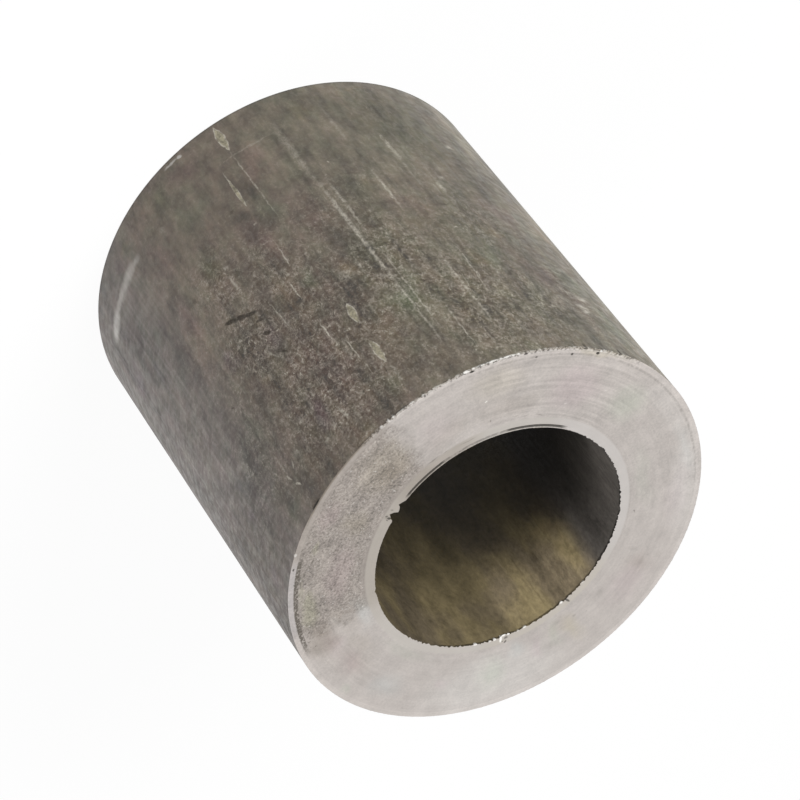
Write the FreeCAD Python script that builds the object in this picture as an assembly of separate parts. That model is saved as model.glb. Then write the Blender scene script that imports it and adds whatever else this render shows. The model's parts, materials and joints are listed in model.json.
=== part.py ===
import FreeCAD, Part
import math
import os

# Spacer sleeve: one cut length of thick-walled steel tube, faced at both ends.
# It stands on its lower end. +Z runs along the tube, and the origin is the middle of the lower end.
# Sizes are in millimetres. Angles are in degrees about +Z, counted from +X towards +Y.

# The tube
outer_diameter = 35.0
bore_diameter = 20.8
length = 38.0

# A drawn tube's wall is never quite even: the bore's axis lies this far from the outside's axis
bore_shift_x = 0.04
bore_shift_y = 0.17

# Upper end: a shallow bevel that the deburring tool left round the rim
rim_bevel_width = 0.52
rim_bevel_depth = 0.04

# Upper end: the smoother ring round the bore's mouth, slightly dished
land_width = 0.86
land_depth = 0.03

# Upper end: where the land's tool ran off the bore, a fine groove leaves a thin lip at the edge on two stretches
lip_width = 0.1
groove_width = 0.17
groove_depth = 0.12
long_groove_start_angle = 212.0
long_groove_end_angle = 240.0
short_groove_start_angle = 270.0
short_groove_end_angle = 288.0

# Upper end: two torn notches in the bore's edge, side by side
deep_notch_angle = 299.0
deep_notch_width = 0.9
deep_notch_reach = 0.4
deep_notch_depth = 0.8
small_notch_angle = 294.3
small_notch_width = 0.44
small_notch_reach = 0.22
small_notch_depth = 0.4

# Lower end: a rounded rim, and a small bevel at the bore
foot_round = 0.15
foot_bevel = 0.3

# How far a cutting shape stands past the surface that it cuts
overrun = 1.0

outer_radius = outer_diameter / 2
bore_radius = bore_diameter / 2
up = FreeCAD.Vector(0, 0, 1)
bore_centre = FreeCAD.Vector(bore_shift_x, bore_shift_y, 0)


def section_point(centre, radius, height):
    """A point of a turned section, drawn in the plane through the axis and +X."""
    return FreeCAD.Vector(centre.x + radius, centre.y, height)


def turned(centre, edges, sweep=360.0):
    """The solid that a closed section makes when it is turned about the vertical axis at centre."""
    face = Part.Face(Part.Wire(edges))
    return face.revolve(centre, up, sweep)


def outline(centre, corners):
    """The straight edges that join the corners, given as radius and height, and close the section."""
    points = [section_point(centre, radius, height) for radius, height in corners]
    following = points[1:] + points[:1]
    return [Part.LineSegment(a, b).toShape() for a, b in zip(points, following)]


def tube_blank():
    """The round bar that the outside of the sleeve is turned from, with its foot rounded and its rim bevelled."""
    axis = FreeCAD.Vector(0, 0, 0)
    foot_inner = section_point(axis, outer_radius - foot_round, 0)
    foot_outer = section_point(axis, outer_radius, foot_round)
    bulge = foot_round * (1 - math.cos(math.radians(45)))
    foot_middle = section_point(axis, outer_radius - bulge, bulge)
    wall_top = section_point(axis, outer_radius, length - rim_bevel_depth)
    face_edge = section_point(axis, outer_radius - rim_bevel_width, length)
    face_middle = section_point(axis, 0, length)
    edges = [
        Part.LineSegment(axis, foot_inner).toShape(),
        Part.Arc(foot_inner, foot_middle, foot_outer).toShape(),
        Part.LineSegment(foot_outer, wall_top).toShape(),
        Part.LineSegment(wall_top, face_edge).toShape(),
        Part.LineSegment(face_edge, face_middle).toShape(),
        Part.LineSegment(face_middle, axis).toShape(),
    ]
    return turned(axis, edges)


def bore_space():
    """What the bore takes out: a cylinder that opens into a bevel at the foot and the dished land on top."""
    corners = [
        (0, -overrun),
        (bore_radius + foot_bevel, -overrun),
        (bore_radius + foot_bevel, 0),
        (bore_radius, foot_bevel),
        (bore_radius, length - land_depth),
        (bore_radius + land_width, length),
        (bore_radius + land_width, length + overrun),
        (0, length + overrun),
    ]
    return turned(bore_centre, outline(bore_centre, corners))


def lip_groove(start_angle, end_angle):
    """The fine groove behind the lip, on a stretch of the mouth where the land's tool ran off."""
    inner = bore_radius + lip_width
    outer = inner + groove_width
    corners = [
        (inner, length - groove_depth),
        (outer, length - groove_depth),
        (outer, length + overrun),
        (inner, length + overrun),
    ]
    groove = turned(bore_centre, outline(bore_centre, corners), end_angle - start_angle)
    groove.rotate(bore_centre, up, start_angle)
    return groove


def torn_notch(angle, width, reach, depth):
    """A V that is torn down the bore's wall from its upper edge, and reaches a little way into the wall."""
    root = bore_radius + reach
    half = width / 2
    over = overrun / depth * half
    corners = [
        FreeCAD.Vector(root, 0, length - depth),
        FreeCAD.Vector(root, half + over, length + overrun),
        FreeCAD.Vector(root, -half - over, length + overrun),
    ]
    face = Part.Face(Part.makePolygon(corners + corners[:1]))
    notch = face.extrude(FreeCAD.Vector(-reach - overrun, 0, 0))
    notch.rotate(FreeCAD.Vector(0, 0, 0), up, angle)
    notch.translate(bore_centre)
    return notch


def spacer_sleeve():
    """The whole sleeve, as one solid."""
    grooves = [
        lip_groove(long_groove_start_angle, long_groove_end_angle),
        lip_groove(short_groove_start_angle, short_groove_end_angle),
    ]
    notches = [
        torn_notch(deep_notch_angle, deep_notch_width, deep_notch_reach, deep_notch_depth),
        torn_notch(small_notch_angle, small_notch_width, small_notch_reach, small_notch_depth),
    ]
    return tube_blank().cut([bore_space()] + grooves + notches)


os.makedirs("parts", exist_ok=True)
sleeve = spacer_sleeve()
sleeve.exportStep("parts/sleeve.step")
print("solids", len(sleeve.Solids), "valid", sleeve.isValid(), "volume in mm3", round(sleeve.Volume, 1))
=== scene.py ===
import json
import math
import bpy
import numpy as np
from mathutils import Matrix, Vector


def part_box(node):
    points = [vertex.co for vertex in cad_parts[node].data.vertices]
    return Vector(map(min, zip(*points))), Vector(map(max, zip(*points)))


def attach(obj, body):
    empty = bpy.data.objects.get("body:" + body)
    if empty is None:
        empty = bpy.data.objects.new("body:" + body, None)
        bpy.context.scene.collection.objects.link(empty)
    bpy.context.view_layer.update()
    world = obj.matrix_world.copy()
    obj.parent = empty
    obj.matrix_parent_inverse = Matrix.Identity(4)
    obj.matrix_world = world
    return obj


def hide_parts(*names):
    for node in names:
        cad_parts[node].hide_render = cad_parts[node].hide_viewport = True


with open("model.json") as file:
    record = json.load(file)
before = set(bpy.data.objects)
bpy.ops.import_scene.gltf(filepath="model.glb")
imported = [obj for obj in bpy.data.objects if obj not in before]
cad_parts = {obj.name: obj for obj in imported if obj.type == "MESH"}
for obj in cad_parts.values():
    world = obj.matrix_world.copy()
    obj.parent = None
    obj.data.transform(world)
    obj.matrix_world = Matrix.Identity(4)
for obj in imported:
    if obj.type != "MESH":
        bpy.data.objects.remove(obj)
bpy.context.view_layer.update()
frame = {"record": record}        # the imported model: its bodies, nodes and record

print("frame loaded")

# The tube's own sizes in millimetres, read from the frame. Meshes are written in metres.
millimetre = 0.001
lowCorner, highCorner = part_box("sleeve")
boreMount = next(m for m in frame["record"]["mounts"] if m["name"] == "bore")
tube = {
    "outer": (highCorner.x - lowCorner.x) / 2 / millimetre,   # outside radius
    "bore": boreMount["dims"]["r_mm"],                        # bore radius
    "tall": highCorner.z / millimetre,
    "shift": np.array(boreMount["pos_m"][:2]) / millimetre,   # the bore's axis, off the outside's
}

# What a user would change on the sleeve's skin: millimetres, and degrees counted from +X
skin = {
    "columns": 790,                  # steps round the sleeve
    "finerSide": (200, 350),         # where the steps lie closer, from and to
    "finerBy": 1.0,                  # 1 doubles them there
    "wallInset": 0.022,              # the mean wall lies this far inside the stock size
    "faceInset": 0.012,              # and the bright end this far
    "rimBevel": (0.52, 0.035),       # width and drop of the bevel round the bright end
    "ringLine": (0.05, 0.025),       # half-width and depth of the line inside that bevel
    "land": (0.86, 0.03),            # width and drop of the smooth ring round the bore
    "landStep": 0.012,               # the land starts this much below the face
    "footRound": 0.12,
    "footBevel": 0.3,
    "wallWave": 0.010,               # slow unevenness of the rolled wall
    "drawLines": 0.004,              # lines along the tube
    "boreWave": 0.035,
    "faceWave": 0.003,
    "rimRag": 0.03,                  # ragged burr on the bright end's outer edge
    "mouthRag": 0.05,                # and on the bore's edge
    "grooveAt": 0.18,                # the fine groove's distance from the bore's edge
    "grooveHalf": 0.085,             # and half its width
    "grooveDepth": 0.10,
    "notchDepth": 0.8,               # how far the torn notch runs down the bore
    "seed": 11,
}

# The torn notch in the bore's edge: angle, and reach outwards from the bore; below 0 is a tongue
notchOutline = [
    (291.4, 0.0), (294.3, 0.34), (295.2, 0.08), (296.4, -0.03), (297.6, -0.06), (298.3, 0.28), (299.5, 0.56),
    (300.2, 0.40), (300.9, 0.26), (301.3, 0.36), (301.8, 0.08), (302.7, -0.06), (303.8, 0.0),
]

# Small torn places on the two bright edges: edge, how far past it along the section, angle, reach round the
# sleeve, reach along the section, push outwards from the axis, push upwards
tornPlaces = [
    # curled chip and beads along the far side of the mouth
    ("mouth", -0.12, 66.4, 0.42, 0.20, -0.36, 0.02),
    ("mouth", -0.45, 66.8, 0.18, 0.14, 0.00, -0.10),
    ("mouth", -0.1, 75.8, 0.20, 0.14, -0.14, 0.02),
    ("mouth", -0.1, 72.8, 0.14, 0.12, -0.08, 0.01),
    ("mouth", -0.1, 61.7, 0.16, 0.14, -0.10, 0.01),
    ("mouth", -0.1, 59.3, 0.14, 0.12, -0.08, 0.01),
    ("mouth", -0.1, 52.6, 0.22, 0.14, -0.10, 0.01),
    ("mouth", -0.1, 27.5, 0.20, 0.12, -0.06, 0.01),
    ("mouth", 0.0, 94.8, 0.18, 0.14, -0.14, 0.02),
    ("mouth", -0.2, 97.2, 0.16, 0.26, 0.18, -0.08),
    ("mouth", -0.1, 107.5, 0.16, 0.12, -0.08, 0.01),
    ("mouth", -0.1, 339.9, 0.18, 0.18, 0.12, -0.04),
    ("mouth", 0.0, 147.0, 0.20, 0.16, 0.12, -0.03),
    ("mouth", 0.0, 186.0, 0.24, 0.16, 0.12, -0.03),
    # burrs and pits round the outer edge
    ("rim", 0.1, 214.7, 0.14, 0.14, 0.00, 0.03),
    ("rim", 0.35, 215.2, 0.14, 0.09, 0.00, -0.08),
    ("rim", 0.60, 222.8, 0.12, 0.09, 0.00, -0.05),
    ("rim", 0.62, 233.2, 0.12, 0.09, 0.00, -0.04),
    ("rim", 0.1, 208.4, 0.14, 0.08, -0.05, -0.06),
    ("rim", 0.2, 219.5, 0.20, 0.08, -0.06, -0.06),
    ("rim", 0.15, 236.3, 0.16, 0.10, -0.06, -0.09),
    ("rim", 0.25, 250.9, 0.20, 0.07, 0.00, -0.10),
    ("rim", 0.1, 263.9, 0.10, 0.10, -0.05, -0.08),
    ("rim", -0.16, 281.6, 0.95, 0.05, -0.12, 0.00),
    ("rim", -0.14, 301.7, 0.60, 0.10, -0.20, 0.00),
    ("rim", 0.22, 321.6, 0.12, 0.08, 0.00, -0.08),
    ("rim", 0.65, 319.9, 0.14, 0.10, 0.00, -0.05),
]


# 0 below low, 1 above high, and 3t^2 - 2t^3 between
def eased(value, low, high):
    t = np.clip((value - low) / (high - low), 0, 1)
    return t * t * (3 - 2 * t)


# 1 between two angles, easing to 0 over so many degrees outside them
def sector(degrees, start, end, easing=2.0):
    middle = (start + end) / 2
    away = np.abs((degrees - middle + 180) % 360 - 180)
    half = (end - start) / 2
    return 1 - eased(away, half, half + easing)


# angles round the sleeve: even steps of a running sum whose density is 1, and 1 + finerBy on the finer side
def roundAngles():
    fine = np.linspace(0, 360, 7201)
    density = 1 + skin["finerBy"] * sector(fine, *skin["finerSide"], easing=10)
    run = np.concatenate([[0], np.cumsum((density[1:] + density[:-1]) / 2)])
    steps = np.arange(skin["columns"]) / skin["columns"] * run[-1]
    return np.radians(np.interp(steps, run, fine))


# points from start up to, not including, end; crowd above 1 draws them to the start, below -1 to the end
def stretch(start, end, count, crowd=1.0):
    t = np.arange(count) / count
    if crowd < 0:
        t = 1 - (1 - t) ** -crowd
    else:
        t = t ** crowd
    start, end = np.array(start, float), np.array(end, float)
    return start + t[:, None] * (end - start)


# the closed section as rows of radius and height: foot, wall, rim bevel, face, land and bore in turn
def sectionRows():
    ro = tube["outer"] - skin["wallInset"]
    rb = tube["bore"]
    top = tube["tall"] - skin["faceInset"]
    bevelWide, bevelDrop = skin["rimBevel"]
    landWide, landDrop = skin["land"]
    landTop = top - skin["landStep"]
    lineHalf = skin["ringLine"][0]
    foot, nick = skin["footRound"], skin["footBevel"]
    wallTop = top - bevelDrop
    lineAt = ro - bevelWide
    turn = np.linspace(0, math.pi / 2, 5)[:-1]
    footArc = np.stack([ro - foot + foot * np.sin(turn), foot - foot * np.cos(turn)], 1)
    parts = [
        ("foot", stretch((rb + nick, 0), (ro - foot, 0), 5)),
        ("wall", footArc),
        ("wall", stretch((ro, foot), (ro, wallTop - 1.2), 24)),
        ("wall", stretch((ro, wallTop - 1.2), (ro, wallTop - 0.02), 11, -1.6)),
        ("wall", stretch((ro, wallTop - 0.02), (ro, wallTop), 1)),
        ("face", stretch((ro, wallTop), (ro - 0.02, wallTop + 0.002), 1)),
        ("face", stretch((ro - 0.02, wallTop + 0.002), (lineAt + lineHalf, top), 7)),
        ("face", stretch((lineAt + lineHalf, top), (lineAt - 2 * lineHalf, top), 4)),
        ("face", stretch((lineAt - 2 * lineHalf, top), (rb + landWide + 0.06, top), 22)),
        ("face", stretch((rb + landWide + 0.06, top), (rb + landWide, landTop), 1)),
        ("face", stretch((rb + landWide, landTop), (rb + 0.42, top - landDrop * 0.8), 3)),
        ("face", stretch((rb + 0.42, top - landDrop * 0.8), (rb + 0.015, top - landDrop), 12)),
        ("face", stretch((rb + 0.015, top - landDrop), (rb, top - landDrop), 1)),
        ("bore", stretch((rb, top - landDrop), (rb, top - landDrop - 0.02), 1)),
        ("bore", stretch((rb, top - landDrop - 0.02), (rb, top - 1.2), 9, 1.6)),
        ("bore", stretch((rb, top - 1.2), (rb, nick), 18)),
        ("bore", stretch((rb, nick), (rb + nick, 0), 2)),
    ]
    rows = np.concatenate([points for _, points in parts])
    zones = np.concatenate([[name] * len(points) for name, points in parts])
    firsts = np.cumsum([0] + [len(points) for _, points in parts])
    return rows, zones, {"rim": firsts[5], "line": firsts[7] + 1, "mouth": firsts[13]}


# a slow random field over angle and height: cosines of whole turns and random phase, scaled to about 1
def randomField(rng, angle, height, turns, rises, count):
    field = 0
    for _ in range(count):
        n = rng.integers(turns[0], turns[1] + 1)
        m = rng.uniform(*rises)
        field = field + np.cos(n * angle + m * height * rng.choice([-1, 1]) + rng.uniform(0, 2 * math.pi))
    return field / math.sqrt(count / 2)


# the push of one torn place: a bell over the arc from its angle, times a bell along the section
def tornBell(place, angle, run, edges, radius):
    edge, past, at, reachRound, reachAlong, outwards, upwards = place
    arc = ((np.degrees(angle) - at + 180) % 360 - 180) * math.pi / 180 * radius
    along = run - edges[edge] - past
    bell = np.exp(-(arc / reachRound) ** 2)[None, :] * np.exp(-(along / reachAlong) ** 2)[:, None]
    return bell * outwards, bell * upwards


# how far each row lies on the wall, the bright end and in the bore, from 0 to 1
def zoneShares(run, height, edges):
    wallPart = eased(run, edges["rim"] - 36.5, edges["rim"] - 35) * (run < edges["rim"])
    facePart = eased(run, edges["rim"], edges["rim"] + 1) * (run <= edges["mouth"])
    borePart = (run > edges["mouth"]) * eased(height, 0, 1)
    return wallPart[:, None], facePart[:, None], borePart[:, None]


# relief along the normal: rolled wall, faced end, bore scale, the line inside the bevel and the groove
def surfaceLift(rng, angle, radius, height, run, edges):
    degrees = np.degrees(angle)
    wallPart, facePart, borePart = zoneShares(run, height, edges)
    grid = (angle[None, :], height[:, None])
    wave = randomField(rng, *grid, (1, 5), (0.02, 0.2), 10) * 0.55
    wave = wave + randomField(rng, *grid, (12, 40), (0.2, 0.9), 14) * 0.2
    lines = randomField(rng, *grid, (60, 260), (0.0, 0.05), 26)
    scale = randomField(rng, *grid, (4, 30), (0.1, 1.6), 22) * 0.5
    ripple = randomField(rng, angle[None, :], radius[:, None], (1, 24), (0.5, 5), 16) * 0.5
    lift = wallPart * (skin["wallWave"] * wave + skin["drawLines"] * lines)
    lift = lift + facePart * skin["faceWave"] * ripple
    lift = lift + borePart * skin["boreWave"] * (scale + 0.25 * lines)
    # the line inside the rim bevel, deeper in some places than others
    lineHalf, lineDeep = skin["ringLine"]
    patchy = 0.65 + 0.35 * randomField(rng, angle, 0, (5, 60), (0, 0), 12)
    patchy = patchy * (0.4 * sector(degrees, 145, 300, 10) + sector(degrees, 324, 346, 3))
    onLine = np.exp(-((run - edges["line"]) / lineHalf) ** 2)
    lift = lift - lineDeep * onLine[:, None] * np.clip(patchy, 0, 1.3)[None, :]
    # the fine groove behind the lip of the mouth, on two stretches and faintly between them
    deep = sector(degrees, 214, 238, 5) + sector(degrees, 271, 286, 6)
    deep = skin["grooveDepth"] * (deep + 0.2 * sector(degrees, 240, 270, 3))
    groove = np.exp(-((edges["mouth"] - run - skin["grooveAt"]) / skin["grooveHalf"]) ** 2)
    return lift - groove[:, None] * deep[None, :]


# ragged edges: short random waves, with only their peaks kept on the outer rim, then the torn places
def raggedEdges(rng, angle, run, edges):
    degrees = np.degrees(angle)
    shortWave = randomField(rng, angle, 0, (90, 330), (0, 0), 40)
    rimRag = np.clip(shortWave, -0.4, 2) * (0.25 + 0.75 * sector(degrees, 207, 277, 6))
    atRim = np.exp(-((run - edges["rim"]) / 0.09) ** 2)[:, None]
    mouthWave = randomField(rng, angle, 0, (50, 260), (0, 0), 40)
    mouthRag = mouthWave * (0.3 + 0.7 * sector(degrees, 20, 195, 12))
    atMouth = np.exp(-((run - edges["mouth"]) / 0.12) ** 2)[:, None]
    atRim = atRim * skin["rimRag"] * rimRag[None, :]
    atMouth = atMouth * skin["mouthRag"] * mouthRag[None, :]
    outwards = 0.5 * atRim + 0.6 * atMouth
    upwards = atRim + 0.3 * atMouth
    for place in tornPlaces:
        edgeRadius = tube["bore"] if place[0] == "mouth" else tube["outer"]
        out, up = tornBell(place, angle, run, edges, edgeRadius)
        outwards = outwards + out
        upwards = upwards + up
    return outwards, upwards


# the notch: the land's rows close up in front of it, and its reach runs out down the bore
def notchReach(angle, radius, run, height, edges):
    degrees = np.degrees(angle)
    reach = np.interp(degrees, *np.array(notchOutline).T)
    reach = reach * ((degrees > notchOutline[0][0]) & (degrees < notchOutline[-1][0]))
    facePart = zoneShares(run, height, edges)[1]
    onLand = np.clip((tube["bore"] + 1.4 - radius) / 1.4, 0, 1)[:, None] * facePart
    below = np.clip(1 - (run - edges["mouth"]) / skin["notchDepth"], 0, 1) * (run > edges["mouth"])
    return (onLand + below[:, None]) * reach[None, :]


# the skin: every row of the section at every angle, moved along its own normal and by its torn edges
def skinGrid():
    rng = np.random.default_rng(skin["seed"])
    angle = roundAngles()
    rows, zones, marks = sectionRows()
    ahead = np.roll(rows, -1, 0) - np.roll(rows, 1, 0)
    normal = np.stack([ahead[:, 1], -ahead[:, 0]], 1) / np.linalg.norm(ahead, axis=1)[:, None]
    gaps = np.linalg.norm(np.diff(rows, axis=0), axis=1)
    run = np.concatenate([[0], np.cumsum(gaps)])
    edges = {name: run[at] for name, at in marks.items()}
    radius, height = rows[:, 0], rows[:, 1]
    lift = surfaceLift(rng, angle, radius, height, run, edges)
    outwards, upwards = raggedEdges(rng, angle, run, edges)
    outwards = outwards + lift * normal[:, :1] + notchReach(angle, radius, run, height, edges)
    upwards = upwards + lift * normal[:, 1:]
    far = np.clip(radius[:, None] + outwards, 0, tube["outer"] - 0.002)
    tall = np.clip(height[:, None] + upwards, 0, tube["tall"] - 0.002)
    share = np.clip((tube["outer"] - radius) / (tube["outer"] - tube["bore"]), 0, 1)[:, None]
    x = far * np.cos(angle)[None, :] + share * tube["shift"][0]
    y = far * np.sin(angle)[None, :] + share * tube["shift"][1]
    points = np.stack([x, y, tall], -1) * millimetre
    return points, zones, run, angle


# four map islands on one square: wall and bore unrolled, each end seen along the axis, the lower end
# inside the upper one's hole; size in millimetres of skin
mapSheet = {"side": 113.0, "margin": 0.7, "upperEnd": 2.06, "lowerEnd": 1.12}


def mapPlaces(points, zones, run, angle, corners):
    side, margin = mapSheet["side"], mapSheet["margin"]
    row, column = corners[..., 0], corners[..., 1]
    count = points.shape[0]
    runs = np.concatenate([run, [run[-1] + 0.3]])
    turns = np.concatenate([angle, [2 * math.pi]])
    arc = turns[column]
    along = runs[row]
    place = points[row % count, column % len(angle)] / millimetre
    zone = zones[corners[:, :1, 0] % count]
    wallFrom, wallTo = run[zones == "wall"][0], run[np.argmax(zones == "face")]
    boreFrom = run[np.argmax(zones == "bore")]
    u = margin + arc / (2 * math.pi) * (side - 2 * margin)
    v = margin + along - wallFrom
    upper = mapSheet["upperEnd"]
    reach = tube["outer"] * upper
    highest = margin + wallTo - wallFrom
    centre = np.array([margin + reach, highest + margin + reach])
    isUpper = zone == "face"
    isLower = zone == "foot"
    isBore = zone == "bore"
    u = np.where(isUpper, centre[0] + place[..., 0] * upper, u)
    v = np.where(isUpper, centre[1] + place[..., 1] * upper, v)
    lower = mapSheet["lowerEnd"]
    u = np.where(isLower, centre[0] + place[..., 0] * lower, u)
    v = np.where(isLower, centre[1] - place[..., 1] * lower, v)
    boreLeft = centre[0] + reach + margin
    u = np.where(isBore, boreLeft + (along - boreFrom) * 0.97, u)
    v = np.where(isBore, highest + margin + arc * tube["bore"], v)
    return np.stack([u, v], -1) / side


# one closed mesh over the whole section: quads between each row and the next, each angle and the next
def sleeveSkin(finishes):
    points, zones, run, angle = skinGrid()
    count, columns = points.shape[:2]
    i, j = np.meshgrid(np.arange(count), np.arange(columns), indexing="ij")
    i, j = i.ravel(), j.ravel()
    corners = np.stack([np.stack([i, j], 1), np.stack([i, j + 1], 1),
                        np.stack([i + 1, j + 1], 1), np.stack([i + 1, j], 1)], 1)
    index = (corners[..., 0] % count) * columns + corners[..., 1] % columns
    mesh = bpy.data.meshes.new("sleeveSkin")
    mesh.vertices.add(count * columns)
    mesh.vertices.foreach_set("co", points.reshape(-1).astype(np.float32))
    mesh.loops.add(index.size)
    mesh.loops.foreach_set("vertex_index", index.reshape(-1).astype(np.int32))
    mesh.polygons.add(len(index))
    mesh.polygons.foreach_set("loop_start", np.arange(0, index.size, 4, dtype=np.int32))
    names = list(finishes)
    slots = np.array([names.index(zone) for zone in zones])[corners[:, 0, 0] % count]
    mesh.polygons.foreach_set("material_index", slots.astype(np.int32))
    mesh.polygons.foreach_set("use_smooth", np.ones(len(index), bool))
    uv = mesh.uv_layers.new(name="OFBake")
    places = mapPlaces(points, zones, run, angle, corners)
    uv.data.foreach_set("uv", places.reshape(-1).astype(np.float32))
    for finish in finishes.values():
        mesh.materials.append(finish)
    mesh.update()
    mesh.validate()
    piece = bpy.data.objects.new("sleeveSkin", mesh)
    bpy.context.scene.collection.objects.link(piece)
    return piece


# The node tree that the functions below add to: newFinish and studioWorld each put their own here
inHand = {}


# a plain setting, or a link where the value is another node's output
def feed(socket, value):
    if isinstance(value, bpy.types.NodeSocket):
        inHand["tree"].links.new(value, socket)
    else:
        socket.default_value = value


def node(kind, inputs=None, **settings):
    made = inHand["tree"].nodes.new(kind)
    for name, value in settings.items():
        setattr(made, name, value)
    for name, value in (inputs or {}).items():
        feed(made.inputs[name], value)
    return made


def maths(operation, *values):
    return node("ShaderNodeMath", dict(enumerate(values)), operation=operation).outputs[0]


def product(first, *others):
    for other in others:
        first = maths("MULTIPLY", first, other)
    return first


def vector(operation, first, second, out=0):
    made = node("ShaderNodeVectorMath", {0: first, 1: second}, operation=operation)
    return made.outputs[out]


def lengthOf(arrow):
    return node("ShaderNodeVectorMath", {0: arrow}, operation="LENGTH").outputs["Value"]


# 0 below low and 1 above high, with a smooth step between; low may be the larger
def step(value, low, high, start=0.0, end=1.0):
    inputs = {"Value": value, "From Min": low, "From Max": high, "To Min": start, "To Max": end}
    return node("ShaderNodeMapRange", inputs, interpolation_type="SMOOTHSTEP").outputs[0]


def blend(amount, under, over):
    made = node("ShaderNodeMix", {0: amount, 6: under, 7: over}, data_type="RGBA")
    return made.outputs[2]


# a tone as a vector socket takes it: a plain colour loses its fourth number
def arrowOf(tone):
    return tone[:3] if isinstance(tone, tuple) else tone


# a number between two others
def mixed(amount, under, over):
    return maths("MULTIPLY_ADD", amount, maths("SUBTRACT", over, under), under)


# the tone times a plain number
def shaded(tone, factor):
    inputs = {0: arrowOf(tone), "Scale": factor}
    return node("ShaderNodeVectorMath", inputs, operation="SCALE").outputs[0]


def colour(red, green, blue):
    return (red, green, blue, 1.0)


# the same space squeezed along the tube, so that what is drawn in it is drawn out; 0 keeps one level only
def squeezed(spot, along):
    return vector("MULTIPLY", spot, (1, 1, along))


# random tone from 0 to 1 in millimetre space; scale is features to the millimetre
def speckle(spot, scale, detail=2.0, rough=0.5):
    inputs = {"Vector": spot, "Scale": scale, "Detail": detail, "Roughness": rough}
    return node("ShaderNodeTexNoise", inputs).outputs[0]


# a factor about 1: each layer adds its gain times how far its tone is from the middle
def gathered(layers):
    total = 1.0 - 0.5 * sum(gain for _, gain in layers)
    for tone, gain in layers:
        total = maths("MULTIPLY_ADD", tone, gain, total)
    return total


# object coordinates in millimetres, and from them the radius, the height and the unit direction round
# the axis
def millimetreSpace():
    found = node("ShaderNodeTexCoord").outputs["Object"]
    spot = vector("MULTIPLY", found, (1 / millimetre,) * 3)
    height = node("ShaderNodeSeparateXYZ", {0: spot}).outputs[2]
    flat = squeezed(spot, 0)
    heading = node("ShaderNodeVectorMath", {0: flat}, operation="NORMALIZE").outputs[0]
    return spot, lengthOf(flat), height, heading


# the same space shaken by noise, so that marks drawn in it have ragged edges
def shaken(spot, scale, amounts):
    noise = node("ShaderNodeTexNoise", {"Vector": spot, "Scale": scale, "Detail": 3.0}).outputs[1]
    offset = vector("SUBTRACT", noise, (0.5, 0.5, 0.5))
    return vector("ADD", vector("MULTIPLY", offset, amounts), spot)


# how far a direction round the axis lies inside a sector: the cosine to its middle, eased at its ends
def inSector(heading, middle, half, easing):
    turned = math.radians(middle)
    near = vector("DOT_PRODUCT", heading, (math.cos(turned), math.sin(turned), 0), "Value")
    return step(near, math.cos(math.radians(half + easing)), math.cos(math.radians(half)))


# 1 from low to high, easing over so much outside them
def between(value, low, high, easing):
    return product(step(value, low - easing, low), step(value, high + easing, high))


# a point in a mark's own space, in half-sizes from its middle, which lies at an angle, radius and height;
# the axes run round the sleeve, outwards and up, and a tilt turns them about the way the mark faces: up at
# the bright end, outwards elsewhere
def markSpace(spot, mark):
    angle, radius, height, halves, tilt = mark
    turned, tilt = math.radians(angle), math.radians(tilt)
    centre = (radius * math.cos(turned), radius * math.sin(turned), height)
    facing = turned - math.pi / 2
    turn = (0.0, 0.0, facing + tilt) if height == upper else (0.0, tilt, facing)
    inputs = {"Vector": spot, "Location": centre, "Rotation": turn, "Scale": halves}
    return node("ShaderNodeMapping", inputs, vector_type="TEXTURE").outputs[0]


# distance from the middle of a lens with pointed ends: |x| + y^2 + z^2
def fromLens(spot, mark):
    axes = node("ShaderNodeSeparateXYZ", {0: markSpace(spot, mark)}).outputs
    bulge = maths("MULTIPLY_ADD", axes[2], axes[2], maths("ABSOLUTE", axes[0]))
    return maths("MULTIPLY_ADD", axes[1], axes[1], bulge)


# the strongest of several oval flecks; soft is where, from the middle out, each begins to fade. The sphere
# gradient is 1 less the distance; spot goes through a plain mapping, so that no link changes its type
def flecks(spot, listed):
    spot = node("ShaderNodeMapping", {"Vector": spot}, vector_type="POINT").outputs[0]
    most = 0.0
    for *place, strength, tilt, soft in [(*row, 0, 0)[:7] for row in listed]:
        inputs = {"Vector": markSpace(spot, (*place, tilt))}
        within = node("ShaderNodeTexGradient", inputs, gradient_type="SPHERICAL").outputs[1]
        most = maths("MAXIMUM", most, step(within, 0.0, 1.0 - soft, 0.0, strength))
    return most


# marks on the wall: rows of angle, height, half-size round and up, strength, then tilt and softness if any
def onWall(rows):
    return [(at, outer, height, (wide, 3, tall), *rest) for at, height, wide, tall, *rest in rows]


# marks on the bright end: rows of angle, radius, half-size round and outwards, strength, tilt and softness
def onEnd(rows):
    return [(at, radius, upper, (wide, deep, 1), *rest) for at, radius, wide, deep, *rest in rows]


# the tone times a tint, as far as the mask says
def tinted(tone, mask, tint):
    made = blend(mask, colour(1, 1, 1), colour(*tint))
    return vector("MULTIPLY", arrowOf(tone), made)


# a new material, whose tree is then in hand, and its shader
def newFinish(name):
    finish = bpy.data.materials.new(name)
    finish.use_nodes = True
    inHand["tree"] = finish.node_tree
    return finish, finish.node_tree.nodes["Principled BSDF"]


# relief in millimetres, as a bump
def relief(shader, height):
    bump = node("ShaderNodeBump", {"Height": height, "Strength": 1.0, "Distance": millimetre})
    feed(shader.inputs["Normal"], bump.outputs[0])


outer = tube["outer"]
upper = tube["tall"]

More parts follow.
